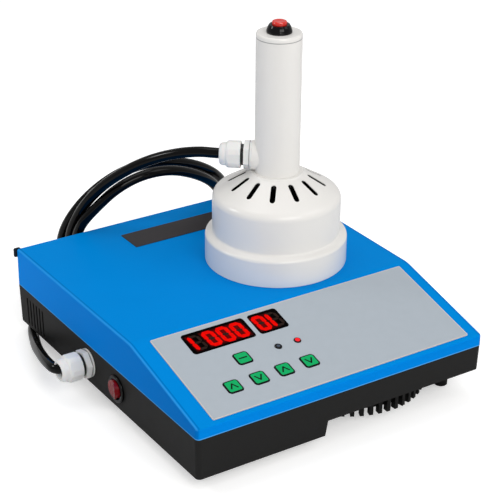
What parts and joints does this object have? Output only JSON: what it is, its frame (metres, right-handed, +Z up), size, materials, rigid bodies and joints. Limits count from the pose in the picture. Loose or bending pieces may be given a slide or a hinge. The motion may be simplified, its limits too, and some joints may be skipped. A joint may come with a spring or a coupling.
{
  "type": "bottle cap sealer",
  "caption": "Bench-top induction cap sealer: low sloped control box with a display and key panel, and a bell-shaped sealing head with an upright handle joined by a coiled cable.",
  "frame": {"origin": "centre of the control box's footprint, on the plane its feet stand on", "axes": "+Z up; +Y from the sloped panel at the front to the rear panel; +X to the right as seen by the user"},
  "size_m": [0.3165, 0.3769, 0.2992],
  "materials": {
    "blue_shell": "gloss",
    "black_shell": "satin",
    "black_rear": "satin",
    "panel_film": "satin",
    "display_window": "gloss",
    "key_green": "satin",
    "lamp_red": "gloss",
    "lamp_dark": "gloss",
    "label_film": "satin",
    "head_white": "gloss",
    "gland_white": "satin",
    "button_red": "gloss",
    "bezel_black": "gloss",
    "rocker_red": "gloss",
    "cable_black": "gloss",
    "rubber_black": "matt",
    "board_green": "satin",
    "steel": "satin",
    "copper": "satin",
    "aluminium": "satin",
    "fan_black": "satin",
    "ferrite": "matt",
    "component": "satin"
  },
  "bodies": {
    "housing": {"base_tray": "black_shell", "bell_housing": "head_white", "board_posts": "component", "board_spacers": "component", "box_gland_body": "gland_white", "box_gland_locknut": "gland_white", "box_gland_nut": "gland_white", "box_gland_washer": "gland_white", "button_bezel": "bezel_black", "button_contact": "component", "button_nut": "steel", "cable": "cable_black", "capacitors": "component", "coil_former": "component", "control_board": "board_green", "display_large": "display_window", "display_small": "display_window", "fan_frame": "fan_black", "fan_guard": "fan_black", "fan_screws": "steel", "feet": "rubber_black", "ferrite_bars": "ferrite", "fuse_holder": "bezel_black", "handle_cap": "head_white", "handle_tube": "head_white", "head_gland_body": "gland_white", "head_gland_nut": "gland_white", "head_gland_washer": "gland_white", "heat_sink": "aluminium", "housing_screws": "steel", "indicator_left": "lamp_dark", "indicator_right": "lamp_red", "induction_coil": "copper", "inlet_pins": "steel", "label_strip": "label_film", "panel_overlay": "panel_film", "plate_screws": "steel", "power_board": "board_green", "power_inlet": "bezel_black", "power_transistors": "component", "rear_panel": "black_rear", "sealing_plate": "head_white", "switch_body": "bezel_black", "switch_terminals": "steel", "tact_switches": "component", "top_cover": "blue_shell", "transformer": "steel"},
    "fan_rotor": {"fan_rotor": "fan_black"},
    "rocker": {"rocker": "rocker_red"},
    "push_button": {"push_button": "button_red"},
    "key_power_down": {"key_power_down": "key_green"},
    "key_power_up": {"key_power_up": "key_green"},
    "key_set": {"key_set": "key_green"},
    "key_time_down": {"key_time_down": "key_green"},
    "key_time_up": {"key_time_up": "key_green"}
  },
  "joints": [
    {"name": "fan_spin", "type": "hinge", "parent": "housing", "child": "fan_rotor", "pos_m": [0.055, -0.076, 0.0363], "axis": [0, 0, 1], "continuous": true},
    {"name": "rocker_tilt", "type": "hinge", "parent": "housing", "child": "rocker", "pos_m": [-0.13765, -0.0272, 0.0298], "axis": [0, 0, 1], "range_deg": [0, 18]},
    {"name": "push_button_press", "type": "slide", "parent": "housing", "child": "push_button", "axis": [0, 0, -1], "range_m": [0, 0.0025], "stiffness_N_per_m": 600, "springref_m": -0.001},
    {"name": "key_power_down_press", "type": "slide", "parent": "housing", "child": "key_power_down", "axis": [0, 0.237, -0.9715], "range_m": [0, 0.0005], "stiffness_N_per_m": 800, "springref_m": -0.0005},
    {"name": "key_power_up_press", "type": "slide", "parent": "housing", "child": "key_power_up", "axis": [0, 0.237, -0.9715], "range_m": [0, 0.0005], "stiffness_N_per_m": 800, "springref_m": -0.0005},
    {"name": "key_set_press", "type": "slide", "parent": "housing", "child": "key_set", "axis": [0, 0.237, -0.9715], "range_m": [0, 0.0005], "stiffness_N_per_m": 800, "springref_m": -0.0005},
    {"name": "key_time_down_press", "type": "slide", "parent": "housing", "child": "key_time_down", "axis": [0, 0.237, -0.9715], "range_m": [0, 0.0005], "stiffness_N_per_m": 800, "springref_m": -0.0005},
    {"name": "key_time_up_press", "type": "slide", "parent": "housing", "child": "key_time_up", "axis": [0, 0.237, -0.9715], "range_m": [0, 0.0005], "stiffness_N_per_m": 800, "springref_m": -0.0005}
  ]
}
